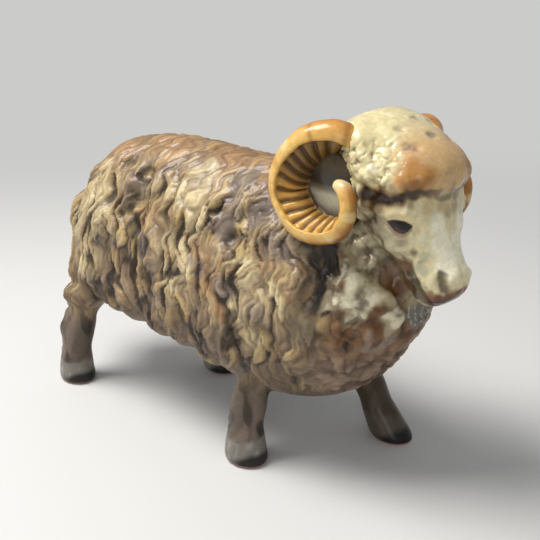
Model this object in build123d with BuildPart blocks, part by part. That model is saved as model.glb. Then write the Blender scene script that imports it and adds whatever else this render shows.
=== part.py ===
# A walking ram in glazed earthenware, cast in slip and stuck together before firing.
# +X is the way the ram faces, +Y is its left side and +Z is up. The soles stand on Z = 0.
from build123d import *
from math import cos, degrees, radians, sin
import os

# Driving sizes of the torso, in millimetres
torso_length = 146.0
torso_height = 74.0
torso_width = 58.0
belly_clearance = 21.0
shell_wall = 3.5
vent_diameter = 4.0

# Driving sizes of the wool: locks that lie down the flanks, and round knots at the throat
lock_length = 18.4
lock_width = 10.8
lock_rise = 2.0
lock_pitch = 11.8
lock_row_pitch = 22.5
knot_diameter = 8.0
knot_rise = 1.8

# Driving sizes of the head, which is turned a little to the ram's right, and of the neck joint
head_length = 53.6
head_depth = 34.0
head_width = 32.0
head_tilt = 64.1
head_turn = 9.0
crown_rise = 14.8
crown_reach = 7.3
neck_joint_tilt = 44.0
neck_passage_diameter = 15.0

# Driving sizes of the horns
horn_coil_radius = 13.0
horn_spread = 20.5
horn_breadth = 13.4
horn_thickness = 10.2
horn_face_tilt = 46.0
horn_drop = 17.8
horn_set_back = 1.8
left_horn_advance = 3.5
left_horn_lowering = 1.5

# Driving sizes of the legs and the tail
leg_root_rise = 24.0
fore_leg_thickness = 10.8
hind_leg_thickness = 11.0
hoof_length = 14.2
hoof_width = 12.0
hoof_height = 8.5
sole_bevel = 0.8
tail_length = 33.0
tail_width = 14.0
tail_depth = 9.0

# Where the rows of locks begin and end, in degrees above the torso's widest line
lowest_lock_climb = -38.0
highest_lock_climb = 66.0
lock_stagger = 13.0
lock_sway = 8.0
half_turn = 180.0
full_turn = 360.0

# Rump to chest: place along the torso, level of the widest line, rise above it, fall below it, half width
torso_station_shares = [
    (0.000, 0.30, 0.04, 0.04, 0.10),
    (0.010, 0.30, 0.18, 0.135, 0.24),
    (0.034, 0.30, 0.31, 0.17, 0.41),
    (0.075, 0.31, 0.39, 0.20, 0.59),
    (0.130, 0.325, 0.505, 0.21, 0.735),
    (0.199, 0.34, 0.595, 0.215, 0.845),
    (0.281, 0.34, 0.64, 0.215, 0.885),
    (0.390, 0.325, 0.67, 0.23, 0.90),
    (0.500, 0.325, 0.66, 0.26, 0.925),
    (0.671, 0.35, 0.62, 0.365, 0.965),
    (0.808, 0.405, 0.57, 0.39, 0.885),
    (0.870, 0.445, 0.505, 0.37, 0.775),
    (0.925, 0.47, 0.405, 0.305, 0.645),
    (0.966, 0.485, 0.285, 0.20, 0.485),
    (0.992, 0.49, 0.155, 0.115, 0.285),
    (1.000, 0.49, 0.045, 0.045, 0.11),
]
torso_cavity_shares = (0.07, 0.93)
# Where the locks lie along the torso
lock_along_shares = (0.10, 0.82)
# The knots at the throat: place along the torso and degrees above its widest line
knot_places = [
    (0.920, 20.0),
    (0.966, 14.0),
    (0.898, -2.0),
    (0.944, -14.0),
    (0.900, -34.0),
]

# Crown to lips: place along the head, reach to the front, reach to the back, half width
head_station_shares = [
    (0.000, 0.13, 0.43, 0.40),
    (0.017, 0.28, 0.60, 0.60),
    (0.067, 0.47, 0.78, 0.80),
    (0.151, 0.70, 0.88, 0.92),
    (0.244, 0.89, 0.88, 0.98),
    (0.338, 1.035, 0.79, 1.00),
    (0.410, 1.035, 0.765, 1.00),
    (0.472, 0.92, 0.705, 0.955),
    (0.534, 0.80, 0.645, 0.89),
    (0.606, 0.735, 0.56, 0.78),
    (0.679, 0.65, 0.47, 0.66),
    (0.761, 0.61, 0.41, 0.55),
    (0.834, 0.635, 0.375, 0.495),
    (0.896, 0.645, 0.33, 0.475),
    (0.943, 0.57, 0.25, 0.44),
    (0.985, 0.36, 0.11, 0.31),
    (1.000, 0.16, 0.03, 0.125),
]
head_cavity_shares = (0.17, 0.60)
head_turn_along_share = 0.842
neck_joint_along_share = 0.87
neck_joint_level_share = 0.80

# Root to tip of a horn: place ahead of and above the coil's middle, outward place, breadth and thickness
horn_station_shares = [
    (0.66, 0.66, 0.27, 0.86, 0.94),
    (0.40, 0.79, 0.465, 0.96, 0.98),
    (0.06, 0.845, 0.675, 1.00, 1.00),
    (-0.31, 0.755, 0.81, 0.98, 0.98),
    (-0.545, 0.575, 0.87, 0.94, 0.95),
    (-0.77, 0.34, 0.905, 0.89, 0.91),
    (-0.915, 0.03, 0.935, 0.83, 0.88),
    (-0.925, -0.285, 0.945, 0.79, 0.865),
    (-0.73, -0.545, 0.955, 0.775, 0.845),
    (-0.43, -0.79, 0.97, 0.74, 0.82),
    (-0.115, -0.855, 0.98, 0.69, 0.78),
    (0.23, -0.83, 0.99, 0.62, 0.71),
    (0.53, -0.74, 0.995, 0.54, 0.63),
    (0.72, -0.57, 1.00, 0.47, 0.55),
    (0.83, -0.33, 1.00, 0.41, 0.49),
    (0.83, -0.09, 1.00, 0.37, 0.45),
    (0.73, 0.07, 0.995, 0.34, 0.41),
    (0.58, 0.13, 0.99, 0.27, 0.33),
    (0.46, 0.10, 0.985, 0.12, 0.15),
]

# Above the hoof of a leg: height, half length and half width
fore_leg_station_shares = [
    (0.12, 1.02, 0.95),
    (0.22, 1.08, 1.00),
    (0.42, 1.02, 1.00),
    (0.62, 1.24, 1.12),
    (0.82, 1.60, 1.20),
    (1.00, 1.75, 1.15),
]
hind_leg_station_shares = [
    (0.12, 1.04, 0.95),
    (0.22, 1.10, 1.00),
    (0.42, 1.08, 1.02),
    (0.62, 1.28, 1.15),
    (0.82, 1.60, 1.22),
    (1.00, 1.80, 1.15),
]
stance_width_share = 0.703
leg_root_width_share = 0.485
# Where each foot stands, where its knee or hock is and where it roots, along the torso
fore_right_along_shares = (0.679, 0.665, 0.72)
fore_left_along_shares = (0.875, 0.775, 0.745)
hind_right_along_shares = (0.093, 0.079, 0.17)
hind_left_along_shares = (0.345, 0.29, 0.19)

# Down the tail: drop, set back from its root line, half depth and half width
tail_station_shares = [
    (0.00, -0.45, 0.20, 0.25),
    (0.05, -0.30, 0.55, 0.60),
    (0.25, 0.15, 0.92, 0.88),
    (0.55, 0.50, 1.00, 1.00),
    (0.82, 0.55, 0.82, 0.85),
    (0.96, 0.45, 0.50, 0.52),
    (1.00, 0.40, 0.15, 0.18),
]
tail_root_along_share = 0.030
tail_root_level_share = 0.66
vent_along_share = 0.45
vent_top_share = 0.20


def along(share):
    """The X of a place along the torso, from the rump at 0 to the chest at 1."""
    return (share - 1 / 2) * torso_length


def level(share):
    """The Z of a place up the torso, from the belly line at 0 to the back line at 1."""
    return belly_clearance + share * torso_height


def egg_section(place, rise, fall, half_width):
    """Half an ellipse on each side of the widest line, on a plane whose X is the figure's Y."""
    with BuildSketch(place) as outline:
        with BuildLine():
            EllipticalCenterArc((0, 0), half_width, rise, 0, arc_size=half_turn)
            EllipticalCenterArc((0, 0), half_width, fall, half_turn, arc_size=half_turn)
        make_face()
    return outline.sketch


def torso_sections(inset, first, last):
    """The torso's cross sections, moved in by a wall thickness, between two places along it."""
    sections = []
    for place, middle, rise, fall, width in torso_station_shares:
        if first <= place <= last:
            plane = Plane((along(place), 0, level(middle)), x_dir=(0, 1, 0), z_dir=(1, 0, 0))
            sections.append(
                egg_section(
                    plane,
                    rise * torso_height - inset,
                    fall * torso_height - inset,
                    width * torso_width / 2 - inset,
                )
            )
    return sections


# The head's own frame turns about an upright line through the neck
head_frame = Plane(
    (along(head_turn_along_share), 0, 0),
    x_dir=(cos(radians(head_turn)), -sin(radians(head_turn)), 0),
    z_dir=(0, 0, 1),
)
head_ahead = head_frame.x_dir
head_left = head_frame.y_dir
# Its axis runs down and forward from the crown
head_down = head_ahead * cos(radians(head_tilt)) - Vector(0, 0, sin(radians(head_tilt)))
crown = head_frame.from_local_coords((crown_reach, 0, level(1) + crown_rise))


def head_sections(inset, first, last):
    """The head's cross sections, square to its axis, moved in by a wall thickness."""
    sections = []
    for place, front, back, width in head_station_shares:
        if first <= place <= last:
            reach_front = front * head_depth / 2
            reach_back = back * head_depth / 2
            on_axis = Plane(crown + head_down * (place * head_length), x_dir=head_left, z_dir=head_down)
            middle = on_axis.from_local_coords((0, (reach_front - reach_back) / 2, 0))
            half_depth = (reach_front + reach_back) / 2 - inset
            sections.append(
                egg_section(
                    Plane(middle, x_dir=head_left, z_dir=head_down),
                    half_depth,
                    half_depth,
                    width * head_width / 2 - inset,
                )
            )
    return sections


# The neck joint, which no lock of wool crosses
neck_joint = Plane(
    (along(neck_joint_along_share), 0, level(neck_joint_level_share)),
    x_dir=(0, 1, 0),
    z_dir=(cos(radians(neck_joint_tilt)), 0, sin(radians(neck_joint_tilt))),
)


def on_torso(along_share, climb, side, sway, sunk):
    """A plane sunk below the torso's skin: X points in, and Z lies down the flank, turned by the sway."""
    after = next(index for index, station in enumerate(torso_station_shares) if station[0] > along_share)
    behind = torso_station_shares[after - 1]
    ahead = torso_station_shares[after]
    part = (along_share - behind[0]) / (ahead[0] - behind[0])
    _, middle, rise, fall, width = (one + (two - one) * part for one, two in zip(behind, ahead))
    height = (rise if climb > 0 else fall) * torso_height
    half_width = width * torso_width / 2
    across = cos(radians(climb))
    up = sin(radians(climb))
    skin = Vector(along(along_share), side * half_width * across, level(middle) + height * up)
    inward = Vector(0, -side * across / half_width, -up / height).normalized()
    down = Vector(0, side * up * half_width, -across * height)
    lie = down.normalized().rotate(Axis((0, 0, 0), inward), sway)
    return Plane(skin + inward * sunk, x_dir=inward, z_dir=lie), degrees(1 / down.length)


def lock_places(side):
    """Columns of locks from the haunch to the shoulder, every other one a little higher."""
    first, last = lock_along_shares
    columns = round((last - first) * torso_length / lock_pitch)
    places = []
    for column in range(columns + 1):
        along_share = first + (last - first) * column / columns
        climb = lowest_lock_climb + lock_stagger * (column % 2)
        sway = lock_sway
        while climb < highest_lock_climb:
            place, turn_per_length = on_torso(along_share, climb, side, sway, lock_width / 2 - lock_rise)
            if neck_joint.to_local_coords(place.origin).Z < -lock_length / 2:
                places.append(place)
            climb += lock_row_pitch * turn_per_length
            sway = -sway
    return places


# One lock is a long egg and one knot a ball, and each is copied to its places
with BuildPart() as lock_form:
    with BuildSketch(Plane.XZ):
        Ellipse(lock_width / 2, lock_length / 2)
        split(bisect_by=Plane.YZ, keep=Keep.TOP)
    revolve(axis=Axis.Z)

with BuildPart() as wool:
    with Locations(*lock_places(-1), *lock_places(1)):
        add(lock_form.part)
    for along_share, climb in knot_places:
        for side in (-1, 1):
            place, _ = on_torso(along_share, climb, side, 0, knot_diameter / 2 - knot_rise)
            with Locations(place):
                Sphere(knot_diameter / 2)

# Torso with its wool, and the head, as one closed form which the stuck-on pieces are fitted to
with BuildPart() as torso_form:
    loft(torso_sections(0, 0, 1))
    add(wool.part)

with BuildPart() as figure:
    add(torso_form.part)
    loft(head_sections(0, 0, 1))

# The hollow that the drained slip leaves
with BuildPart() as hollow:
    loft(torso_sections(shell_wall, *torso_cavity_shares))
    loft(head_sections(shell_wall, *head_cavity_shares))
    with Locations(neck_joint):
        Cylinder(neck_passage_diameter / 2, neck_passage_diameter)

# Two castings that meet at the neck joint, and where the throat lies on the chest
with BuildPart() as body_form:
    add(torso_form.part)
    split(bisect_by=neck_joint, keep=Keep.BOTTOM)

with BuildPart() as body_casting:
    add(body_form.part)
    add(hollow.part, mode=Mode.SUBTRACT)
    with BuildSketch(Plane((along(vent_along_share), 0, 0))):
        Circle(vent_diameter / 2)
    extrude(amount=level(vent_top_share), mode=Mode.SUBTRACT)

with BuildPart() as head_casting:
    add(figure.part)
    add(body_form.part, mode=Mode.SUBTRACT)
    add(hollow.part, mode=Mode.SUBTRACT)

# Horns: a coil of tapering sections whose broad face slopes in towards the head
coil_middle = crown + head_ahead * -horn_set_back - Vector(0, 0, horn_drop)


def coil_point(ahead, above, outward):
    """A point on the right horn's middle line."""
    in_coil = head_ahead * (ahead * horn_coil_radius) + Vector(0, 0, above * horn_coil_radius)
    return coil_middle + in_coil - head_left * (outward * horn_spread)


def horn_sections():
    """Ellipses square to the coil, from the root in the crown to the tip."""
    points = [coil_point(ahead, above, outward) for ahead, above, outward, _, _ in horn_station_shares]
    face = radians(horn_face_tilt)
    sections = []
    for index, (_, _, _, breadth, thickness) in enumerate(horn_station_shares):
        before = points[max(index - 1, 0)]
        after = points[min(index + 1, len(points) - 1)]
        heading = (after - before).normalized()
        rim_way = head_left.cross(heading).normalized()
        broad_way = rim_way * cos(face) - head_left * sin(face)
        broad_way = broad_way - heading * broad_way.dot(heading)
        with BuildSketch(Plane(points[index], x_dir=broad_way, z_dir=heading)) as outline:
            Ellipse(breadth * horn_breadth / 2, thickness * horn_thickness / 2)
        sections.append(outline.sketch)
    return sections


with BuildPart() as right_horn_form:
    loft(horn_sections())

with BuildPart() as right_horn:
    add(right_horn_form.part)
    add(figure.part, mode=Mode.SUBTRACT)

# The left horn is the same cast, turned over and set a little further forward and lower
head_middle_plane = Plane(head_frame.origin, x_dir=head_ahead, z_dir=head_left)
with BuildPart() as left_horn:
    with Locations(head_ahead * left_horn_advance - Vector(0, 0, left_horn_lowering)):
        add(mirror(right_horn_form.part, about=head_middle_plane, mode=Mode.PRIVATE))
    add(figure.part, mode=Mode.SUBTRACT)


# Legs: a hoof with a flat sole, and a shank that swings from the foot to its root in the torso
def leg_sections(side, along_shares, thickness, station_shares):
    """Level cross sections from the sole to the root."""
    foot_share, joint_share, root_share = along_shares
    foot = Vector(along(foot_share), side * stance_width_share * torso_width / 2, 0)
    joint = Vector(along(joint_share), side * stance_width_share * torso_width / 2, 0)
    root = Vector(along(root_share), side * leg_root_width_share * torso_width / 2, 0)
    root_height = belly_clearance + leg_root_rise
    hoof_stations = [
        (0, hoof_length / 2 - sole_bevel, hoof_width / 2 - sole_bevel),
        (sole_bevel, hoof_length / 2, hoof_width / 2),
        (hoof_height / 2, hoof_length / 2, hoof_width / 2),
        (hoof_height, (hoof_length + thickness) / 4, (hoof_width + thickness) / 4),
    ]
    shank = root_height - hoof_height
    shank_stations = [
        (hoof_height + height * shank, length * thickness / 2, width * thickness / 2)
        for height, length, width in station_shares
    ]
    sections = []
    for height, half_length, half_width in hoof_stations + shank_stations:
        rise = height / root_height
        # A curve from the foot to the root, drawn towards the knee or hock on the way
        middle = foot * (1 - rise) ** 2 + joint * (2 * rise * (1 - rise)) + root * rise**2
        with BuildSketch(Plane(middle + Vector(0, 0, height))) as outline:
            Ellipse(half_length, half_width)
        sections.append(outline.sketch)
    return sections


with BuildPart() as right_foreleg:
    loft(leg_sections(-1, fore_right_along_shares, fore_leg_thickness, fore_leg_station_shares))
    add(figure.part, mode=Mode.SUBTRACT)

with BuildPart() as left_foreleg:
    loft(leg_sections(1, fore_left_along_shares, fore_leg_thickness, fore_leg_station_shares))
    add(figure.part, mode=Mode.SUBTRACT)

with BuildPart() as right_hind_leg:
    loft(leg_sections(-1, hind_right_along_shares, hind_leg_thickness, hind_leg_station_shares))
    add(figure.part, mode=Mode.SUBTRACT)

with BuildPart() as left_hind_leg:
    loft(leg_sections(1, hind_left_along_shares, hind_leg_thickness, hind_leg_station_shares))
    add(figure.part, mode=Mode.SUBTRACT)


# The tail: a lock of wool that lies down the rump
with BuildPart() as tail:
    tail_profiles = []
    for drop, set_back, depth, width in tail_station_shares:
        middle = Vector(
            along(tail_root_along_share) - set_back * tail_depth,
            0,
            level(tail_root_level_share) - drop * tail_length,
        )
        with BuildSketch(Plane(middle)) as outline:
            Ellipse(depth * tail_depth / 2, width * tail_width / 2)
        tail_profiles.append(outline.sketch)
    loft(tail_profiles)
    add(figure.part, mode=Mode.SUBTRACT)

# The origin is the middle of the whole figure's box, on the ground
pieces = {
    "body_casting": body_casting,
    "head_casting": head_casting,
    "right_horn": right_horn,
    "left_horn": left_horn,
    "right_foreleg": right_foreleg,
    "left_foreleg": left_foreleg,
    "right_hind_leg": right_hind_leg,
    "left_hind_leg": left_hind_leg,
    "tail": tail,
}
box_middle = Compound([piece.part for piece in pieces.values()]).bounding_box().center()
to_origin = Pos(-box_middle.X, -box_middle.Y, 0)

os.makedirs("parts", exist_ok=True)
for name, piece in pieces.items():
    piece.part = to_origin * piece.part
    piece.part.label = name
    export_step(piece.part, f"parts/{name}.step")
print("the middle of the torso lies at X", -box_middle.X)
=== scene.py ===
from math import cos, radians, sin

import bmesh
import bpy
import numpy as np
from mathutils.kdtree import KDTree
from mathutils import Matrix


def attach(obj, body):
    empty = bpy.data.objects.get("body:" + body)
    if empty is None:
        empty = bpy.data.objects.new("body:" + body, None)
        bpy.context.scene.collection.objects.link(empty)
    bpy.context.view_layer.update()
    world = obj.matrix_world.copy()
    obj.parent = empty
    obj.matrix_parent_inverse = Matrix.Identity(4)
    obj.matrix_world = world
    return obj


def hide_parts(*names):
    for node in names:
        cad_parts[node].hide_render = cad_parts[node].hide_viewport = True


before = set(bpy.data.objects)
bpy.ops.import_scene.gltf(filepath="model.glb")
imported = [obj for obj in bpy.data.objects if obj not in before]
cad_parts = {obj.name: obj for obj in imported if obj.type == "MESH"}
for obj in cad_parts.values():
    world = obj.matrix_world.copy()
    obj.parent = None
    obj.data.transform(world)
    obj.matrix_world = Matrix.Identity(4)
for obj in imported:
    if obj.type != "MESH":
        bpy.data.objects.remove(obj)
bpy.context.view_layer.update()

# The studio: the camera at the photograph's angle, a plain pale floor that runs back past the view,
# a soft box overhead and two weaker ones in front.
bpy.ops.object.select_all(action="DESELECT")
bpy.ops.object.camera_add(location=(0.1656, -0.1810, 0.1410), rotation=(radians(70.19), 0, radians(40)))
camera = bpy.context.object
camera.data.sensor_width = 36
camera.data.lens = 52.93
bpy.context.scene.camera = camera

bpy.ops.mesh.primitive_circle_add(vertices=64, radius=14, fill_type="NGON", location=(0, 0, 0))
floor = bpy.context.object
floor.name = "floor"
floor_paint = bpy.data.materials.new("pale_floor")
floor_paint.use_nodes = True
ground = floor_paint.node_tree
floor_shader = ground.nodes["Principled BSDF"]
floor_shader.inputs["Base Color"].default_value = (0.62, 0.615, 0.6, 1)
floor_shader.inputs["Roughness"].default_value = 0.6
# Away from the figurine the floor fades to an even pale grey, for the eye and for reflections alone
rays = ground.nodes.new("ShaderNodeLightPath")
seen = ground.nodes.new("ShaderNodeMath")
seen.operation = "MAXIMUM"
ground.links.new(rays.outputs["Is Camera Ray"], seen.inputs[0])
ground.links.new(rays.outputs["Is Glossy Ray"], seen.inputs[1])
spot = ground.nodes.new("ShaderNodeTexCoord")
reach = ground.nodes.new("ShaderNodeVectorMath")
reach.operation = "LENGTH"
ground.links.new(spot.outputs["Object"], reach.inputs[0])
fade = ground.nodes.new("ShaderNodeMapRange")
fade.interpolation_type = "SMOOTHSTEP"
fade.inputs["From Min"].default_value = 0.10
fade.inputs["From Max"].default_value = 0.55
ground.links.new(reach.outputs["Value"], fade.inputs["Value"])
share = ground.nodes.new("ShaderNodeMath")
share.operation = "MULTIPLY"
ground.links.new(seen.outputs["Value"], share.inputs[0])
ground.links.new(fade.outputs["Result"], share.inputs[1])
even = ground.nodes.new("ShaderNodeEmission")
even.inputs["Color"].default_value = (0.60, 0.60, 0.59, 1)
blend = ground.nodes.new("ShaderNodeMixShader")
ground.links.new(share.outputs["Value"], blend.inputs[0])
ground.links.new(floor_shader.outputs["BSDF"], blend.inputs[1])
ground.links.new(even.outputs["Emission"], blend.inputs[2])
ground.links.new(blend.outputs["Shader"], ground.nodes["Material Output"].inputs["Surface"])
floor.data.materials.append(floor_paint)


def soft_box(name, place, aim, width, power, tone):
    """A square studio light that faces a point."""
    bpy.ops.object.light_add(type="AREA", location=place)
    lamp = bpy.context.object
    lamp.name = name
    lamp.data.size = width
    lamp.data.energy = power
    lamp.data.color = tone
    way = np.array(aim) - np.array(place)
    lamp.rotation_euler = (np.arctan2(np.hypot(way[0], way[1]), -way[2]), 0, np.arctan2(-way[0], way[1]))


soft_box("overhead_box", (-0.20, -0.22, 0.62), (0, 0, 0.06), 0.34, 5.6, (1, 0.985, 0.96))
soft_box("front_box", (0.55, -0.75, 0.45), (0, 0, 0.05), 0.5, 1.6, (1, 1, 1))
soft_box("left_box", (-0.75, -0.35, 0.5), (0, 0, 0.05), 0.5, 0.9, (1, 1, 1))
world = bpy.data.worlds.new("studio")
world.use_nodes = True
world.node_tree.nodes["Background"].inputs["Color"].default_value = (0.9, 0.92, 0.95, 1)
world.node_tree.nodes["Background"].inputs["Strength"].default_value = 0.38
bpy.context.scene.world = world
bpy.context.scene.view_settings.view_transform = "Standard"


# The raw figure: torso, head, legs and tail are slip castings, luted together while leather hard
# and sponged so that the joints disappear. Their solids are merged into one skin of fine clay.
MM = 1000  # millimetres in a metre


def raw_copy(node):
    """A casting's form to model on."""
    copy = bpy.data.objects.new("raw_" + node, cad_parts[node].data.copy())
    bpy.context.collection.objects.link(copy)
    return copy


def pick_only(*chosen):
    """Selects these and nothing else, and works on the first."""
    bpy.ops.object.select_all(action="DESELECT")
    for piece in chosen:
        piece.select_set(True)
    bpy.context.view_layer.objects.active = chosen[0]


cast_nodes = ["body_casting", "head_casting", "right_foreleg", "left_foreleg",
              "right_hind_leg", "left_hind_leg", "tail"]
raw_parts = [raw_copy(node) for node in cast_nodes]

# The hollow inside isn't seen, so it is filled before the skin is drawn round everything
torso_core = raw_copy("body_casting")
core_share = 0.94
pick_only(torso_core)
bpy.ops.object.mode_set(mode="EDIT")
bpy.ops.mesh.select_all(action="SELECT")
bpy.ops.mesh.convex_hull()
bpy.ops.mesh.select_all(action="SELECT")
bpy.ops.transform.resize(value=(core_share, core_share, core_share))
bpy.ops.object.mode_set(mode="OBJECT")
cores = [torso_core]
neck_cores = [
    # place and radius in metres
    ((0.049, 0, 0.077), 0.0130), ((0.0611, -0.0025, 0.0925), 0.0137), ((0.0650, -0.003, 0.084), 0.0115),
]
for place, radius in neck_cores:
    bpy.ops.mesh.primitive_uv_sphere_add(segments=48, ring_count=24, radius=radius, location=place)
    cores.append(bpy.context.object)
pick_only(*raw_parts, *cores)
bpy.ops.object.join()
clay = bpy.context.object
clay.name = "clay"
skin = clay.modifiers.new("skin", "REMESH")
skin.mode = "VOXEL"
skin.voxel_size = 0.00065
bpy.ops.object.modifier_apply(modifier="skin")
bpy.ops.object.mode_set(mode="EDIT")
bpy.ops.mesh.separate(type="LOOSE")
bpy.ops.object.mode_set(mode="OBJECT")
shells = sorted(bpy.context.selected_objects, key=lambda shell: len(shell.data.vertices))
clay = shells[-1]
for bubble in shells[:-1]:
    bpy.data.objects.remove(bubble)


# The luted joints: at the roots of the legs, the tail and the neck the slip is sponged until the
# castings run into each other. The head, which has the finest modelling, then gets a finer skin.
def vectors_of(items, field):
    """One field of all the vertices or faces, a row for each."""
    values = np.empty(len(items) * 3, np.float32)
    items.foreach_get(field, values)
    return values.reshape(-1, 3).astype(float)


def points_of(piece):
    """Vertex places in millimetres."""
    return vectors_of(piece.data.vertices, "co") * MM


def normals_of(piece):
    return vectors_of(piece.data.vertices, "normal")


def put_points(piece, places):
    piece.data.vertices.foreach_set("co", (places / MM).astype(np.float32).ravel())
    piece.data.update()


def near(places, centre, radius):
    """1 at the centre, falling smoothly to 0 at the radius."""
    gap = np.linalg.norm(places - np.array(centre), axis=1) / radius
    return np.clip(1 - gap**2, 0, 1) ** 2


def ramp(values, low, high):
    """0 below low, 1 above high and smooth between."""
    share = np.clip((values - low) / (high - low), 0, 1)
    return share * share * (3 - 2 * share)


def weigh(piece, name, share):
    """A vertex group that holds a share for each vertex, in tenths."""
    group = piece.vertex_groups.new(name=name)
    for tenth in range(1, 11):
        chosen = np.nonzero(np.round(share * 10).astype(int) == tenth)[0]
        group.add([int(index) for index in chosen], tenth / 10, "REPLACE")


def sponge(piece, passes, pressure=0.5, where=""):
    """Evens the clay out, all over or in one vertex group."""
    pick_only(piece)
    wiping = piece.modifiers.new("sponge", "SMOOTH")
    wiping.factor = pressure
    wiping.iterations = passes
    wiping.vertex_group = where
    bpy.ops.object.modifier_apply(modifier="sponge")


# The head's own axes: it is turned 9 degrees to the ram's right
turn = radians(9)
AHEAD = np.array([cos(turn), -sin(turn), 0])
LEFT = np.array([sin(turn), cos(turn), 0])
UP = np.array([0, 0, 1.0])
HEAD_FOOT = np.array([44.955, 0, 0])


def from_head(ahead, left, up):
    """A place given ahead, left and up in the head's frame."""
    return HEAD_FOOT + AHEAD * ahead + LEFT * left + UP * up


# The neck is cut square to its own line, which rises ahead at 44 degrees
NECK_AHEAD = 49.05
NECK_UP = 80.2
neck_slope = radians(44)


def above_neck(ahead, up):
    """How far a place is above the neck's joint, in millimetres."""
    return (ahead - NECK_AHEAD) * cos(neck_slope) + (up - NECK_UP) * sin(neck_slope)


joint_roots = [
    # ahead, left, up and radius: the four legs, then the tail
    (24, -20, 31, 15), (38, 20, 31, 15), (-57, -18, 41, 16), (-40, 19, 38, 17), (-77, 0, 68, 14),
]
places = points_of(clay)
softened = np.zeros(len(places))
for *root, radius in joint_roots:
    softened = np.maximum(softened, near(places, root, radius))
# the flanks lightly, so that the plain locks of the casting melt into the fleece
flanks = ramp(places[:, 2], 26, 34) * (1 - ramp(places[:, 0], 44, 52))
softened = np.maximum(softened, 0.35 * flanks)
# the neck all round, but not the face
neck = near(places, (47, 0, 84), 30)
softened = np.maximum(softened, 0.9 * ramp(neck, 0, 0.3) * (1 - near(places, from_head(26, 0, 95), 22)))
weigh(clay, "joints", softened)
sponge(clay, 60, where="joints")
sponge(clay, 4)

# every edge of the head is divided
mesh = bmesh.new()
mesh.from_mesh(clay.data)
head_faces = set()
for face in mesh.faces:
    middle = face.calc_center_median() * MM
    if above_neck(middle[0], middle[2]) > 0:
        head_faces.add(face)
head_edges = [edge for edge in mesh.edges if any(face in head_faces for face in edge.link_faces)]
bmesh.ops.subdivide_edges(mesh, edges=head_edges, cuts=1, use_grid_fill=True)
bmesh.ops.triangulate(mesh, faces=[face for face in mesh.faces if len(face.verts) > 4])
mesh.to_mesh(clay.data)
mesh.free()
sponge(clay, 3)

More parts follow.
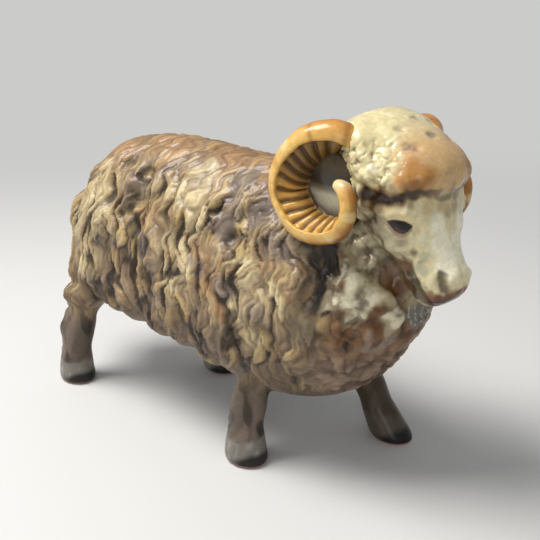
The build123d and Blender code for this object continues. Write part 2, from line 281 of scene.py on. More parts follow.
# The modelling: bosses and hollows are pushed into the clay with a boxwood tool, both sides alike.
# A row gives ahead, left, up, radius and rise in millimetres, for the head in its own frame.
head_modelling = [
    # the dome of the forehead overhangs a deep brow
    (27.5, 12.4, 95.6, 3.6, 0.9), (30.2, 8.5, 95.9, 4, 0.7), (31.6, 3.5, 96.5, 4.5, 0.5),
    (28, 9, 99, 7, 0.5), (20.6, 15.6, 91.3, 3.0, -1.2), (23.4, 14.8, 90.4, 2.8, -1.4),
    (26.6, 13.0, 91.4, 2.6, -1.3), (29.3, 10.0, 92.0, 2.6, -1.1), (31.2, 6.8, 92.4, 2.6, -0.7),
    (32, 2.5, 91.2, 3.2, -0.8), (31.6, 6.5, 88.5, 4, -0.5),
    # upper lid, eyeball, lower lid and the corners of the eye
    (23.9, 14.0, 87.6, 1.9, 0.8), (25.5, 13.0, 88.2, 2.0, 1.0), (27.3, 11.6, 87.9, 2.0, 1.0),
    (28.5, 10.4, 86.6, 1.7, 0.7), (26.7, 11.9, 84.7, 2.7, 0.7), (29.4, 9.4, 84.0, 1.8, -0.8),
    (22.8, 14.0, 85.2, 1.7, -0.7), (24.6, 12.7, 82.6, 1.7, 0.45), (26.6, 11.2, 81.6, 1.7, 0.45),
    (28.3, 9.8, 82.3, 1.5, 0.3), (26.5, 10.7, 79.9, 2.0, -0.5),
    # the bridge of the nose, the cheek and its small folds
    (31.5, 6.2, 83, 4, 0.5), (29.2, 8.6, 77.2, 1.5, -0.5), (30.6, 7.6, 74.6, 1.6, -0.3),
    (25.0, 9.7, 75.4, 2.0, -0.7), (27.6, 9.0, 75.0, 1.5, -0.5), (22.4, 10.5, 78.2, 3.2, 1.3),
    (26.2, 9.9, 77.8, 2.4, 0.6), (20.6, 12.2, 82.6, 2.4, 0.7), (18.3, 12.0, 79.0, 2.6, 0.9),
    (14.6, 11.6, 77.6, 3.2, 1.1), (19.0, 13.6, 85.6, 2.0, -0.5), (16.6, 12.3, 81.3, 2.0, -0.5),
    (14.8, 11.8, 74.3, 2.4, -0.7), (17.8, 11.2, 69.4, 2.4, -0.8), (16.8, 11.0, 72.2, 2.6, 1.0),
    (17.0, 15.4, 88.3, 2.8, 1.0), (16.0, 15.3, 92.2, 2.4, 0.9), (18.4, 15.2, 90.6, 1.5, -0.9),
    (13.8, 13.6, 85.2, 2.6, 0.9), (15.4, 14.4, 85.6, 1.4, -0.8),
    # the recess under the jaw
    (25.2, 8.4, 72.0, 4.6, -1.6), (21.5, 7.6, 68.4, 5.0, -1.4), (27.4, 7.8, 69.8, 2.6, -1.2),
    (24.5, 6.2, 65.8, 4.0, -0.9),
    # nostril, lips and chin
    (35.0, 5.4, 71.6, 2.0, -0.7), (35.3, 5.8, 70.2, 2.0, -0.7), (36.0, 5.3, 68.8, 1.9, -0.6),
    (36.8, 4.0, 71.6, 2.2, 0.6), (33.6, 6.9, 71.0, 2.4, 0.6), (37.6, 2.2, 72.4, 2.6, 0.4),
    (28.8, 7.6, 67.0, 4.6, -1.1), (31.2, 6.6, 64.4, 4.2, -0.9), (31.6, 7.5, 68.2, 1.3, -0.6),
    (33.3, 7.0, 67.6, 1.3, -0.7), (35.0, 5.6, 67.0, 1.3, -0.6), (36.6, 4.0, 67.3, 1.3, -0.5),
    (37.6, 1.6, 68.2, 1.5, -0.5), (33.4, 6.0, 65.4, 2.6, 0.5),
    # dimples of the forehead
    (26.0, 7.1, 103.4, 2.2, -0.7), (24.3, 8.4, 103.9, 1.8, -0.5), (20.1, 6.5, 107.2, 2.2, -0.7),
    (25.0, -0.3, 105.7, 2.4, -0.25),
    # the wool that laps the horn's root and hangs over the temple
    (10.5, 12.0, 106.5, 5.5, 1.1), (13.4, 13.8, 103.0, 6, 1.8), (15.6, 15.2, 98.4, 5.5, 1.7),
    (19.2, 15.8, 96.2, 3.2, 1.2), (23.2, 15.0, 95.4, 3.0, 1.1),
]
body_modelling = [
    # the groove between haunch and flank, and its two deep hollows
    (-24.4, -16.3, 84.4, 4, -1.8), (-25.4, -20.6, 76.9, 5.5, -2.0), (-28.5, -22.3, 72.0, 4.5, -1.6),
    (-23.5, -23.8, 68.2, 4.5, -1.2), (-19.4, -25.4, 62.1, 4.5, -1.2), (-15.8, -26.8, 53.5, 4.5, -1.2),
    (-13, -27, 47, 4.5, -1.0),
    # the haunch, and the shadowed step under it
    (-44, -22.6, 66, 15, 1.2), (-46.7, -25.7, 50, 9, 1.8), (-55, -21, 60, 9, 0.8),
    (-50, -23.5, 40.0, 5, -0.8), (-42, -25.5, 39.5, 5, -1.2), (-36, -26.4, 42.5, 5, -1.4),
    # hollows of the flank
    (17.8, -23.7, 73.1, 3.8, -2.4), (9.9, -20, 79.6, 3.4, -1.6), (20, -20.4, 78.8, 3.6, -1.6),
    (14.5, -18, 83.6, 4.5, -0.9), (3.4, -25.8, 66.5, 3, -1.0),
    # the valley behind the shoulder, and the shoulder itself
    (21.5, -28.2, 49.8, 5.5, -1.6), (22.2, -27.8, 42.6, 5.5, -1.8), (20.5, -27.6, 57, 5, -1.0),
    (28, -28, 54, 7, 1.0), (27, -26.6, 65, 6, 1.0), (38, -27, 57, 7, 0.7), (48.5, -22.4, 63, 6, -2.4),
    (49.5, -20, 70, 7, -2.4), (45.5, -22, 73, 7, -1.6), (51, -20.5, 52, 4, -1.0),
    # chest, with its dimples and soft lumps
    (45.4, -24.7, 52.3, 8, 0.7), (55.4, -19.3, 48.3, 3.0, -1.9), (57.2, -18.6, 52.6, 2.6, -1.2),
    (60.6, -15.5, 48.8, 4, 0.9), (64.5, -11, 50.5, 4, 0.8), (54, -18.5, 42.5, 5, 0.8),
    (60, -9, 40, 4.5, -0.7), (42.7, -21.5, 35.5, 4.5, -1.6), (47, -18, 32, 4, 0.6),
    (59, -14.5, 43.5, 2.6, -0.8), (26.4, -21.6, 29.4, 2.6, -1.1),
    # knees, hocks and the dew claws at the back of the feet
    (18.5, -25.5, 27, 5, 0.6), (14.4, -21.4, 13.2, 2.8, 1.3), (15.6, -24.6, 11.8, 2.2, 0.8),
    (-71.0, -21.4, 14.4, 3.0, 1.6), (-69.6, -24.4, 12.4, 2.2, 0.8), (-68.5, -20.5, 27.5, 5, 2.2),
    (-67.5, -22, 21.5, 5.5, 1.3), (-66, -20, 43.5, 6, 1.8), (-58, -25, 28, 5, 0.8),
]
ruff_knots = [
    # ahead, left, up and radius of the round knots of wool at the throat
    (57.2, -18.0, 66.0, 5.6), (62.6, -13.9, 63.4, 4.8), (53.2, -20.6, 60.4, 4.8), (60.1, -17.3, 57.4, 3.8),
    (66.4, -9.6, 56.6, 4.0), (55.2, -17.8, 71.4, 4.0), (53.4, -19.6, 66.8, 4.4), (59.4, -15.6, 69.2, 3.8),
    (60.0, -16.8, 62.6, 3.6), (57.6, -18.2, 61.0, 3.2),
]
knot_rise = 1.6
body_modelling += [(*knot, knot_rise) for knot in ruff_knots]


def model(places, normals, work):
    """Works through the bosses and hollows one after another."""
    for *centre, radius, rise in work:
        places = places + normals * (near(places, centre, radius) * rise)[:, None]
    return places


places = points_of(clay)
normals = normals_of(clay)
for side in (-1, 1):
    cheek = [(*from_head(ahead, side * left, up), radius, rise)
             for ahead, left, up, radius, rise in head_modelling]
    places = model(places, normals, cheek)
for side in (1, -1):
    flank = [(ahead, side * left, up, radius, rise) for ahead, left, up, radius, rise in body_modelling]
    places = model(places, normals, flank)
put_points(clay, places)

# The folds of the brow and the nostrils are sponged once more, and so, lightly, is the ruff
fold_spots = [
    (20.6, 15.4, 91.5, 5), (24, 14.4, 91.2, 5), (27.4, 12.4, 92, 5), (30, 9.4, 92.4, 5),
    (31.6, 5.5, 92, 5.5), (32, 1, 91.5, 5.5), (35.4, 5.5, 70.2, 3),
]
folds = np.zeros(len(places))
for side in (-1, 1):
    for ahead, left, up, radius in fold_spots:
        folds = np.maximum(folds, near(places, from_head(ahead, side * left, up), radius))
    for ahead, left, up, radius in ruff_knots:
        folds = np.maximum(folds, 0.25 * near(places, (ahead, side * left, up), radius * 1.5))
weigh(clay, "folds", np.clip(folds * 1.6, 0, 1))
sponge(clay, 30, where="folds")
places = points_of(clay)
normals = normals_of(clay)


# The fleece: every lock is a wavy leaf of clay laid over its neighbours and combed down from the
# back. The poll has small tight curls, and the ruff, chest and temples have round knots.
FULL_TURN = 6.2832  # radians


def unit(ways):
    return ways / np.maximum(np.linalg.norm(ways, axis=1), 1e-6)[:, None]


def square_to(ways, axes):
    """What is left of each way without its part along the axis."""
    return ways - axes * (ways * axes).sum(1)[:, None]


def lay_locks(places, normals, where, spacing, length, breadth, lie, bend, seed, unruly=0.16):
    """For each vertex: the height of the lock on top, its lead over the one beneath, its tone
    and its grain, the distance across it."""
    chance = np.random.default_rng(seed)
    reach = np.nonzero(where > 0.02)[0]
    top = np.zeros(len(places))
    beneath = np.zeros(len(places))
    tone = np.full(len(places), 0.5)
    grain = np.zeros(len(places))
    # one lock starts in each cell of the spacing, at a vertex drawn by lot
    cells = np.floor((places[reach] + chance.uniform(0, spacing, 3)) / spacing).astype(int)
    mixed = chance.permutation(len(reach))
    _, first = np.unique(cells[mixed], axis=0, return_index=True)
    starts = reach[mixed[first]]
    tree = KDTree(len(reach))
    for index in reach:
        tree.insert(places[index], int(index))
    tree.balance()
    # locks differ in their lie, size, rise, tone and bow
    ways = lie(places[starts], normals[starts])
    ways += chance.normal(0, unruly, ways.shape)
    ways = unit(square_to(ways, normals[starts]))
    sideways = np.cross(normals[starts], ways)
    sizes = chance.uniform(0.7, 1.35, len(starts))
    rises = chance.uniform(0.5, 1.0, len(starts))
    tones = chance.uniform(0, 1, len(starts))
    bows = chance.uniform(-1, 1, len(starts))
    sway = bend(places)
    for number, start in enumerate(starts):
        long = length * sizes[number] / 2
        wide = breadth * sizes[number] / 2
        index = np.array([item[1] for item in tree.find_range(places[start], long * 1.05)])
        off = places[index] - places[start]
        down = off @ ways[number]
        across = off @ sideways[number] + sway[index] - sway[start]
        across -= bows[number] * wide * 0.7 * (down / long) ** 2
        # a leaf is pointed at both ends and thickest towards its tip
        share = np.clip(down / long / 2 + 0.5, 0, 1)
        leaf = np.clip(4 * share * (1 - share), 0, 1) ** 0.6
        slope = np.clip(1 - (across / (wide * np.maximum(leaf, 0.02))) ** 2, 0, 1)
        facing = (normals[index] * normals[start]).sum(1) > 0.2
        lift = rises[number] * slope**0.7 * (0.55 + 0.45 * share) * leaf**0.5 * facing
        # where locks cross, the higher one is on top
        over = lift > top[index]
        won = index[over]
        beneath[index] = np.where(over, top[index], np.maximum(beneath[index], lift))
        top[won] = lift[over]
        tone[won] = tones[number]
        grain[won] = across[over] + 7 * tones[number]
    return top, top - beneath, tone, grain


def downhill(places, normals):
    """Down the flanks, and a little towards the tail near the spine."""
    ways = np.zeros_like(places)
    ways[:, 2] = -1
    ways[:, 0] = -0.35 * ramp(normals[:, 2], 0.2, 0.9)
    ways[:, 1] = 0.4 * np.sign(places[:, 1]) * ramp(normals[:, 2], 0.5, 1.0)
    return unit(square_to(ways, normals))


def any_way(places, normals):
    """Curls lie every way, and change over a few millimetres."""
    swirl = np.sin(places[:, 0] * 1.7 + places[:, 2] * 1.1) * 3
    ways = np.stack([np.cos(swirl), np.sin(swirl * 1.3), np.sin(swirl)], 1)
    return square_to(ways, normals)


def drift(places, wavelength, upright, seed):
    """A smooth wandering value between about -1 and 1, longer or shorter along the upright."""
    chance = np.random.default_rng(seed)
    total = np.zeros(len(places))
    for _ in range(9):
        way = chance.normal(0, 1, 3)
        way *= chance.uniform(0.7, 1.4) / np.linalg.norm(way)
        way[2] /= upright
        total += np.sin(places @ way * FULL_TURN / wavelength + chance.uniform(0, FULL_TURN))
    return total / 3


def body_wave(places):
    """The shared bends of the fleece, sideways in millimetres."""
    return 1.9 * drift(places, 14, 0.9, 5) + 0.5 * drift(places, 6, 0.9, 6)


def curl_wave(places):
    return 0.6 * drift(places, 3.4, 1, 7)


# Where each kind of wool grows, as a share for each vertex
x, y, z = places.T
h_ahead, h_left, h_up = (places - HEAD_FOOT) @ AHEAD, (places - HEAD_FOOT) @ LEFT, z
# the face slopes down ahead from the top of the poll
POLL_AHEAD = 7.3
POLL_UP = 109.8
face_slope = radians(64.1)
to_front = (h_ahead - POLL_AHEAD) * sin(face_slope) + (h_up - POLL_UP) * cos(face_slope)
head_zone = ramp(above_neck(x, z), -2, 2)
leg_zone = 1 - ramp(z, 22, 33)
belly_zone = ramp(-normals[:, 2], 0.62, 0.95) * (1 - ramp(z, 34, 44))
ruff_zone = ramp(x - 0.25 * (z - 60), 50, 57) * (1 - head_zone) * ramp(z, 40, 52)
chest_zone = ramp(x, 40, 52) * (1 - ramp(z, 40, 52)) * ramp(z + 0.5 * (x - 52), 19, 25)
fleece_zone = (1 - head_zone) * (1 - leg_zone) * (1 - belly_zone)
fleece_zone = fleece_zone * (1 - ruff_zone) * (1 - 0.75 * chest_zone)
spine_zone = ramp(normals[:, 2], 0.45, 0.95) * (1 - head_zone)
poll_edge = h_ahead - np.minimum(26.3, 28.4 - 0.66 * (h_up - 95)) + 1.3 * drift(places, 6, 1, 8)
poll_zone = head_zone * ramp(h_up + 1.2 * drift(places, 5, 1, 10), 92.2, 95.0)
poll_zone = poll_zone * (1 - ramp(poll_edge, -2.4, 1.6))
temple_zone = head_zone * (1 - poll_zone) * (1 - ramp(to_front + 0.35 * (90 - h_up), 1, 6))
knot_zone = np.maximum(np.maximum(ruff_zone, chest_zone), temple_zone)

# spacing, length and breadth of the locks in millimetres
locks, lock_lead, lock_tone, lock_grain = lay_locks(
    places, normals, fleece_zone, 3.7, 16, 5.4, downhill, body_wave, 11)
curls, curl_lead, _, _ = lay_locks(
    places, normals, poll_zone, 3.0, 7.0, 3.3, any_way, curl_wave, 21, 0.6)
knots, knot_lead, knot_tone, _ = lay_locks(
    places, normals, knot_zone, 3.8, 6.2, 5.0, any_way, curl_wave, 31, 0.6)

# The relief in millimetres: each lock stands up, its seam is cut in and its strands are combed
strand_breadth = 1.4
seam = 1 - ramp(lock_lead, 0, 0.16)
combed = np.cos(lock_grain * FULL_TURN / strand_breadth)
flank_side = 1 - 0.45 * spine_zone
relief = fleece_zone * flank_side * (2.2 * (locks - 0.7) - 0.5 * seam + 0.16 * combed)
curl_rise = 1 - 0.92 * ramp(h_up, 102, 106.5)
curl_seam = 1 - ramp(curl_lead, 0, 0.2)
relief += poll_zone * curl_rise * (1.1 * (curls - 0.6) - 0.25 * curl_seam)
knot_seam = 1 - ramp(knot_lead, 0, 0.15)
knot_share = np.maximum(0.65 * ruff_zone, 1.05 * chest_zone)
relief += knot_share * (1.5 * (knots - 0.7) - 0.4 * knot_seam)
relief += 1.5 * temple_zone * (knots - 0.65)
put_points(clay, places + normals * relief[:, None])
sponge(clay, 1, pressure=0.4)


# The paint: brushed and airbrushed washes under a clear glaze, dark in the hollows and pale on the
# ridges, with painted shade in the deepest hollows and folds and on the far hind leg. Both sides are
# painted nearly alike, and the brush wanders, so patches have uneven edges.
def tint(code):
    """A colour written as it looks, as the renderer's linear values."""
    parts = np.array([int(code[i:i + 2], 16) for i in (0, 2, 4)]) / 255
    return np.where(parts <= 0.04045, parts / 12.92, ((parts + 0.055) / 1.055) ** 2.4)


def base_coat(colour, count):
    """One flat coat of paint, a row for each vertex."""
    return np.tile(tint(colour), (count, 1))


def wash(coat, colour, amount):
    """Lays one colour over the coat, by a share for each vertex."""
    coat[:] = coat * (1 - amount[:, None]) + tint(colour) * amount[:, None]


def keep_paint(piece, coat):
    """Stores the coat on the piece, where its glaze reads it."""
    rgba = np.concatenate([np.clip(coat, 0, 1), np.ones((len(coat), 1))], 1)
    layer = piece.data.color_attributes.new("paint", "FLOAT_COLOR", "POINT")
    layer.data.foreach_set("color", rgba.astype(np.float32).ravel())


unsteady = np.stack([drift(places, 7, 1.4, number) for number in (41, 42, 43)], 1)
brushed_body = places + 1.6 * unsteady
brushed_head = places + 0.6 * np.stack([drift(places, 6, 1, number) for number in (44, 45, 46)], 1)


def body_patch(spots, edge):
    """How far spots on both flanks cover each vertex, crisp where the edge is near 0."""
    cover = np.zeros(len(places))
    for ahead, across, up, radius in spots:
        for side in (-1, 1):
            cover = np.maximum(cover, near(brushed_body, (ahead, side * across, up), radius))
    return ramp(cover, 0, edge)


def head_patch(spots, edge):
    """The same for both cheeks, in the head's frame."""
    cover = np.zeros(len(places))
    for ahead, across, up, radius in spots:
        for side in (-1, 1):
            cover = np.maximum(cover, near(brushed_head, from_head(ahead, side * across, up), radius))
    return ramp(cover, 0, edge)


# wool of the body
low_lock, mid_lock, high_lock = np.quantile(locks[fleece_zone > 0.5], [0.08, 0.45, 0.8])
groove = 1 - ramp(locks, low_lock, mid_lock)
crest = ramp(locks, mid_lock, high_lock)
tan_patches = [
    (-45, 9, 88, 14), (-22, 5, 94, 16), (2, 4, 93, 14), (22, 5, 91, 13), (36, 6, 88, 10), (12, 27, 60, 5),
    (9, 25, 66, 5), (40.5, 25, 62.8, 5), (-20, 22, 72, 5), (33, 24.7, 70, 5), (17, 26, 52, 7),
]
mauve_patches = [
    (15.5, 13, 87, 8), (14, 18, 82, 7), (7.4, 26, 62, 5), (18, 27, 59, 6), (31, 28, 54.8, 4),
    (13, 22, 76, 7), (27, 18, 82, 7), (-18, 24, 64, 5), (-32, 24, 62, 5), (-24, 18, 80, 4),
    (36, 22, 74, 6), (-13, 26, 48, 6),
]
cream_patches = [
    (-44, 22, 68, 14), (-46, 25, 53, 10), (-45, 16, 80, 10), (-55, 19, 66, 11), (-1.2, 13, 88, 7),
    (-2.8, 18, 82, 8), (2.8, 22, 75, 6.5), (-4, 24, 68, 7), (1, 26.5, 60, 6), (-9, 25, 66, 6),
    (-4, 26.7, 56, 6), (25.6, 26, 65, 7), (24.5, 28, 54, 6), (37, 26, 58, 6), (31, 27, 46, 5),
    (-13, 19, 82, 5),
]
cream = body_patch(cream_patches, 0.45) * fleece_zone
low_down = 1 - ramp(z, 36, 52)
paint = base_coat("a08560", len(places))
wash(paint, "85705c", ramp(lock_tone, 0.55, 0.75) * fleece_zone * 0.85)
wash(paint, "b59a66", (1 - ramp(lock_tone, 0.15, 0.35)) * fleece_zone * 0.8)
wash(paint, "ab8459", body_patch(tan_patches, 0.5) * fleece_zone * 0.75)
wash(paint, "83756c", body_patch(mauve_patches, 0.5) * fleece_zone * 0.8)
wash(paint, "b39d75", cream * 0.75)
wash(paint, "dccb9e", cream * (0.35 + 0.65 * crest) * ramp(0.8 - lock_tone, 0, 0.5) * 0.95)
wash(paint, "5d4c3a", (1 - ramp(z + 2 * unsteady[:, 0], 36, 52)) * fleece_zone * 0.6)
wash(paint, "b39c6c", low_down * fleece_zone * crest * (lock_tone < 0.35) * 0.6)
wash(paint, "c8b48d", crest * fleece_zone * (1 - 0.7 * spine_zone) * ramp(z, 36, 60) * 0.3)
# brown run into the grooves, less on the back
wash(paint, "22170d", groove * fleece_zone * (0.94 - 0.5 * ramp(normals[:, 2], 0.35, 0.85)))
wash(paint, "4d4036", seam * (1 - groove) * fleece_zone * 0.45)
wash(paint, "44362a", (0.5 - 0.5 * combed) ** 2 * fleece_zone * 0.35)
# painted shade: the deepest hollows of the modelling are darkened nearly to black
shaded_hollows = [(ahead, left, up, radius * 1.05)
           for ahead, left, up, radius, rise in body_modelling if rise < -1.1]
wash(paint, "1f160e", body_patch(shaded_hollows, 0.9) * 0.85)
neck_shade = [(50, 20, 67, 9), (47, 21, 76, 9), (49, 21.5, 61, 6), (44, 21, 80, 8)]
wash(paint, "20150b", body_patch(neck_shade, 0.9) * (1 - head_zone) * 0.9)
wash(paint, "6f634d", body_patch([(45.4, 24.7, 52.3, 8)], 0.6) * 0.7)

# underside, legs and hooves, with bare clay at the soles
foreleg = x > 34
shank = leg_zone * (1 - belly_zone)
wash(paint, "6d5e53", np.maximum(belly_zone, leg_zone) * (1 - head_zone))
wash(paint, "564a3e", shank * ramp(drift(places, 9, 1.5, 51), -0.8, 0.3) * 0.9)
wash(paint, "2d241b", shank * ramp(drift(places, 5, 1.8, 52), 0.1, 0.9) * 0.85)
wash(paint, "3a2d15", leg_zone * foreleg * 0.85)
# painted shade: the left hind leg, on the far side behind the belly, is darkened nearly to black
wash(paint, "241d17", leg_zone * (y > 0) * (x < 0) * 0.75)
dew_claws = [(14.4, 21.4, 13.2, 2.6), (-71, 21.4, 14.4, 3)]
wash(paint, "b0a27c", body_patch(dew_claws, 0.5) * (y < 0) * 0.85)
hoof_zone = 1 - ramp(z - 0.8 * unsteady[:, 1], 8.0, 10.0)
toe = ramp(normals[:, 0], -0.35, 0.35)
toe_line = 1 - ramp(z - 2.2 * ramp(normals[:, 0], 0, 0.8), 1.4, 3.6)
wash(paint, "77726a", hoof_zone * np.where(foreleg, 0.25, 0.85))
wash(paint, "9a968c", hoof_zone * ramp(drift(places, 4, 1, 54), 0.0, 0.9) * 0.5 * (x < 34))
wash(paint, "0f0d0b", hoof_zone * toe_line * toe)
wash(paint, "bd8d76", (1 - ramp(z, 0.45, 0.8)) * 0.9)

# chest, ruff and throat
wash(paint, "84705f", chest_zone * 0.85)
wash(paint, "a18d7b", chest_zone * ramp(knots, 0.7, 0.95) * 0.6)
wash(paint, "4a3524", chest_zone * (1 - ramp(knots, 0.35, 0.7)) * 0.85)
pale_knot = ramp(knots, 0.6, 0.9) * ramp(knot_tone, 0.35, 0.5)
wash(paint, "6b4726", ruff_zone * 0.9)
wash(paint, "3b2512", ruff_zone * (1 - ramp(knots, 0.3, 0.6)) * 0.7)
wash(paint, "8d7a68", ruff_zone * pale_knot * (1 - ramp(x, 58, 66)) * 0.8)
knot_paint = body_patch([(*spot, radius * 1.05) for *spot, radius in ruff_knots], 0.4)
knot_tops = [(ahead, left, up + 0.7, radius * 0.85) for ahead, left, up, radius in ruff_knots]
wash(paint, "a3977c", knot_paint * 0.9)
wash(paint, "d3cbad", body_patch(knot_tops, 0.35) * 0.95)
wash(paint, "4a3219", knot_paint * (1 - ramp(knots, 0.3, 0.55)) * 0.7)
wash(paint, "8a7a6d", body_patch([(61, 14.5, 49.5, 5), (65, 10, 50.5, 4.5)], 0.6) * 0.75)
# painted shade: the dimples of the chest are darkened nearly to black
shaded_chest_dimples = [(55.4, 19.3, 48.3, 2.8), (57.2, 18.6, 52.6, 2.4), (52, 20, 57, 2.4)]
wash(paint, "1e1209", body_patch(shaded_chest_dimples, 0.5) * 0.9)
throat = ramp(near(places, (68.5, 0, 58), 9) * (1 - head_zone), 0, 0.4)
throat_strands = np.cos(y * 1.9 + 2.4 * np.sin(z * 0.3 + 0.5) + np.sin(z * 0.9))
wash(paint, "6c675c", throat * 0.9)
wash(paint, "c9c6ba", throat * ramp(throat_strands, 0.9, 1.0) * 0.7)

# face and temples
wash(paint, "d6c99f", head_zone)
wash(paint, "b3a88a", head_patch([(22, 11, 80, 8), (18, 14, 86, 8), (24, 10, 76, 5)], 0.5) * 0.8)
wash(paint, "74684e", temple_zone * 0.85)
wash(paint, "bdb294", temple_zone * ramp(knots, 0.6, 0.85) * 0.85)
wash(paint, "4b3f2a", temple_zone * (1 - ramp(knots, 0.3, 0.6)) * 0.85)
face_patches = [
    # colour, strength, edge and spots: the lumps of the cheek, then its folds
    ("c3b896", 0.7, 0.45, [
        (17, 15.4, 88.3, 2.8), (16, 15.3, 92.2, 2.4), (13.8, 13.6, 85.2, 2.6), (14.6, 11.6, 77.6, 3.2),
        (18.3, 12, 79, 2.4), (22.4, 10.5, 78.2, 3), (16.8, 11, 72.2, 2.6)]),
    ("54452d", 0.75, 1.0, [
        (18.4, 15.2, 90.6, 1.6), (15.4, 14.4, 85.6, 1.5), (19, 13.6, 85.6, 1.7), (16.6, 12.3, 81.3, 2.0),
        (14.8, 11.8, 74.3, 2.4), (17.8, 11.2, 69.4, 2.2), (25, 9.7, 75.4, 1.8), (29.2, 8.6, 77.2, 1.8),
        (31, 7.6, 74.8, 1.6)]),
    # between and below the eyes, along the nose and beside it
    ("b59d70", 0.7, 0.8, [(30.8, 6.5, 89.6, 4), (32, 2, 88.5, 4)]),
    ("9c9280", 0.45, 0.8, [(32.3, 1.5, 87.6, 2.4), (31.9, 5, 86.6, 2)]),
    # pale cream along the bridge of the nose, brightened as painted light where the bridge is lit
    ("f2ecd2", 0.85, 0.8, [
        (35.4, 3.5, 73.6, 5), (33.2, 3, 80, 5.5), (34.5, 2, 76.5, 5), (32.4, 4.5, 84.5, 4)]),
    ("9b9f88", 0.6, 0.9, [(30.6, 7.7, 73.2, 2.8), (31.2, 7.4, 76.5, 2)]),
    ("8f8468", 0.6, 1.0, [
        (25.4, 10.4, 80.4, 2.4), (22.2, 12.4, 83.6, 2.2), (27.4, 9.2, 77.0, 2.0), (23.4, 10.6, 76.2, 2.0)]),
    ("d0d2bc", 0.7, 0.9, [(29.9, 8.4, 82.1, 1.9)]),
    # the recess under the jaw, warm brown, with painted shade along its dark edge at the chin
    ("735343", 0.9, 0.7, [
        (25.3, 8.3, 72.3, 4.8), (21.2, 7.2, 69.6, 4.8), (24.8, 6, 66, 5), (21, 6, 64, 6)]),
    ("63401d", 0.85, 0.9, [(21, 6.5, 65.5, 6), (25, 5.5, 65, 5)]),
    # painted shade: the dark edge of the recess under the chin
    ("2f2015", 0.85, 0.6, [
        (26.8, 7.4, 71, 3.0), (28, 7.2, 68.4, 4.0), (29.2, 6.8, 66.2, 4.2), (31, 5.8, 64, 3.6)]),
]
for colour, strength, edge, spots in face_patches:
    wash(paint, colour, head_patch(spots, edge) * strength)

# poll: cream, with brown in the curls
wash(paint, "cdbf90", poll_zone * 0.95)
wash(paint, "e6ddba", poll_zone * ramp(curls, 0.55, 0.9) * 0.7)
wash(paint, "86734f", poll_zone * curl_rise * (1 - ramp(curls, 0.2, 0.5)) * 0.8)

# forehead: orange brown low at the sides, tan in front, fading to cream on the crown
dome = head_zone * ramp(h_up + 0.4 * drift(places, 4, 1, 9), 92.0, 93.4)
dome = dome * (1 - poll_zone) * ramp(h_ahead, 18, 21)
wash(paint, "c09b68", dome * (1 - 0.75 * ramp(h_up, 103, 109)) * 0.9)
dome_patches = [
    ("a9763a", 0.9, 0.8, [(28, 11.2, 97.8, 5.5), (30.4, 8.2, 97.2, 5), (28.8, 11, 95, 4.5)]),
    ("7c4d20", 0.6, 0.9, [(28.6, 11, 95.6, 3.4), (30.2, 8.6, 95.4, 2.8)]),
    ("b98f6e", 0.5, 0.9, [(27, 7, 101, 5)]),
]
for colour, strength, edge, spots in dome_patches:
    wash(paint, colour, dome * head_patch(spots, edge) * strength)
dimples = [(26, 7.1, 103.4, 1.9), (24.4, 8.4, 103.9, 1.4), (20.1, 6.5, 107.2, 1.8), (25, 0.3, 105.7, 1.7)]
wash(paint, "7d756c", head_patch(dimples, 0.8) * 0.75)

# brow: dark brown in the fold, with painted shade nearly black over the eyes and broken over the nose
off_middle = np.abs(h_left)
fold_line = np.interp(off_middle, [0, 3, 7.6, 10, 13, 15, 16.5], [91.6, 91.9, 93.4, 92.8, 91.8, 90.8, 91.4])
fold_half = np.interp(off_middle, [0, 7, 10, 13.5, 15.5], [1.6, 1.2, 1.5, 2.0, 2.8])
off_fold = np.abs(h_up + 0.8 * drift(places, 4, 1, 62) - fold_line) / fold_half
brow = head_zone * ramp(h_ahead, 15.5, 18)
brown_share = np.interp(off_middle, [0, 5, 8], [0.35, 0.5, 0.85])
brow_shade_share = np.interp(off_middle, [0, 3, 6, 9, 12], [0.6, 0.45, 0.5, 0.8, 0.95])
wash(paint, "76542c", brow * (1 - ramp(off_fold, 0.7, 1.7)) * brown_share)
# painted shade: the fold under the overhanging forehead is darkened nearly to black
wash(paint, "241509", brow * (1 - ramp(off_fold, 0.35, 1.15)) * brow_shade_share)
lid_shade = [(22.2, 14.9, 88.4, 2.2), (28.8, 11, 89.8, 2.0), (21.4, 15.2, 86.2, 1.8)]
wash(paint, "7f6d4d", head_patch(lid_shade, 0.9) * 0.7)

# eyes: a dark almond with a brown iris and a black pupil, and a cream lid above
eye_middle = np.array([26.2, 12.0, 85.1])
eye_way = np.array([5.2, -3.8, -0.8]) / 6.49
eye_half, eye_rise, eye_fall = 3.3, 1.25, 2.35
lid_half, lid_rise = 3.6, 3.6
for side in (-1, 1):
    spot = np.stack([h_ahead, side * h_left, h_up], 1) - eye_middle
    close = np.linalg.norm(spot, axis=1) < 6
    along_eye = spot @ eye_way
    rise_eye = spot[:, 2] + 0.12 * along_eye
    arch = np.clip(1 - (along_eye / eye_half) ** 2, 0, 1)
    top_line = eye_rise * arch**0.7
    low_line = -eye_fall * arch**0.9 * (1 + 0.12 * along_eye)
    lid_line = lid_rise * np.clip(1 - (along_eye / lid_half) ** 2, 0, 1) ** 0.6
    lid = close * ramp(rise_eye, 0.2, 0.9) * (1 - ramp(rise_eye - lid_line, -0.5, 0.1))
    wash(paint, "d6c394", lid * 0.9)
    under_lid = close * (1 - ramp(np.abs(rise_eye - low_line + 0.5), 0.2, 0.9)) * (arch > 0.05)
    wash(paint, "8a6a50", under_lid * 0.7)
    between_lids = ramp(top_line - rise_eye, -0.15, 0.2) * ramp(rise_eye - low_line, -0.15, 0.2)
    eyeball = close * between_lids * (np.abs(along_eye) < 3.5)
    wash(paint, "1a0e07", eyeball)
    iris = eyeball * (1 - ramp(np.hypot(along_eye - 0.5, rise_eye + 0.6), 1.5, 1.9))
    wash(paint, "4a2610", iris * ramp(-rise_eye - 0.1 * along_eye, 0.7, 1.3) * 0.95)
    pupil = eyeball * (1 - ramp(np.hypot(along_eye - 1.0, rise_eye + 0.15), 1.05, 1.35))
    wash(paint, "040302", pupil)

